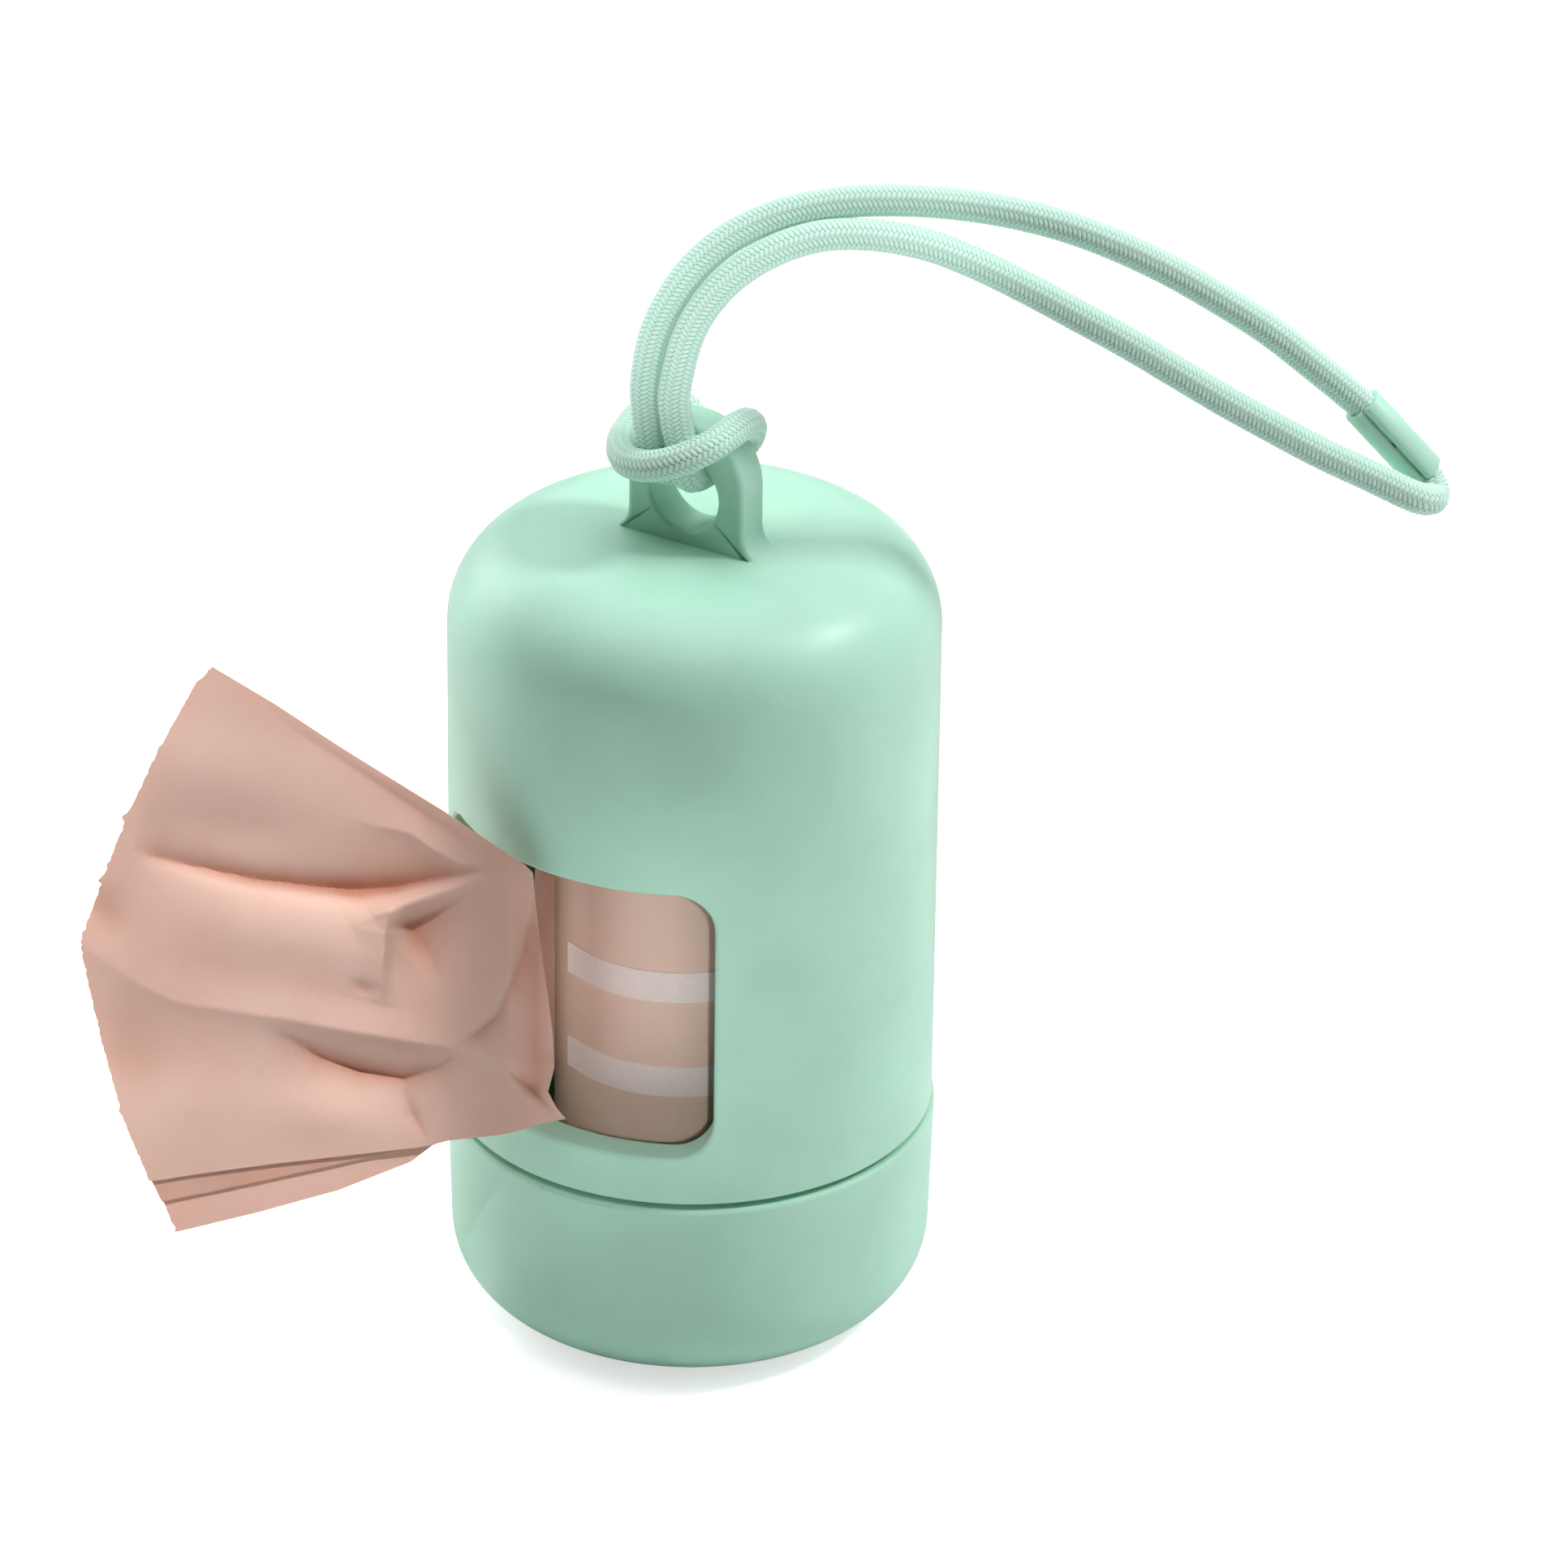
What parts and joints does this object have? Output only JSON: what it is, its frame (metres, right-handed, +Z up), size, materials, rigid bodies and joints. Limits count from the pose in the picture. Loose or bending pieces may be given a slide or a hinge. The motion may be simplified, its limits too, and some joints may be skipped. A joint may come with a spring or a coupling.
{
  "type": "dog poop bag dispenser",
  "caption": "Round screw-base dispenser with a side window that feeds bags from an upright roll, and a looped elastic wrist cord.",
  "frame": {"origin": "centre of the base cap's flat foot", "axes": "+Z up along the housing's axis, -Y toward the window that the bags leave by, +X toward the side that the wrist cord's loop leans to"},
  "size_m": [0.0943, 0.082, 0.1126],
  "materials": {
    "housing_plastic": "soft-touch satin moulding",
    "core_paper": "plain wound paper tube",
    "bag_film": "thin translucent film, satin",
    "tape_paper": "matte paper tape",
    "cord_braid": "braided sheath over rubber",
    "ferrule_coat": "satin coat"
  },
  "bodies": {
    "housing": {"housing": "housing_plastic", "wrist_cord": "cord_braid", "cord_ferrule": "ferrule_coat"},
    "core_carrier": {"roll_core": "core_paper"},
    "base_cap": {"base_cap": "housing_plastic"},
    "bag_roll": {"bag_roll": "bag_film", "upper_tape": "tape_paper", "lower_tape": "tape_paper"},
    "first_bag": {"pulled_bag": "bag_film"}
  },
  "joints": [
    {"name": "cap_travel", "type": "slide", "parent": "housing", "child": "core_carrier", "axis": [0, 0, -1], "range_m": [0, 0.00376]},
    {"name": "cap_twist", "type": "hinge", "parent": "core_carrier", "child": "base_cap", "pos_m": [0, 0, 0.02], "axis": [0, 0, -1], "range_deg": [0, 450]},
    {"name": "roll_spin", "type": "hinge", "parent": "core_carrier", "child": "bag_roll", "pos_m": [-0.0008, -0.0006, 0.0323], "axis": [0, 0, 1], "range_deg": [0, 360]},
    {"name": "bag_pull", "type": "slide", "parent": "housing", "child": "first_bag", "axis": [-0.8791, -0.4767, 0], "range_m": [0, 0.0742]}
  ],
  "couplings": [
    {"joint": "cap_travel", "follows": "cap_twist", "m_per_rad": 0.00047746},
    {"joint": "bag_pull", "follows": "roll_spin", "m_per_rad": 0.0118}
  ]
}
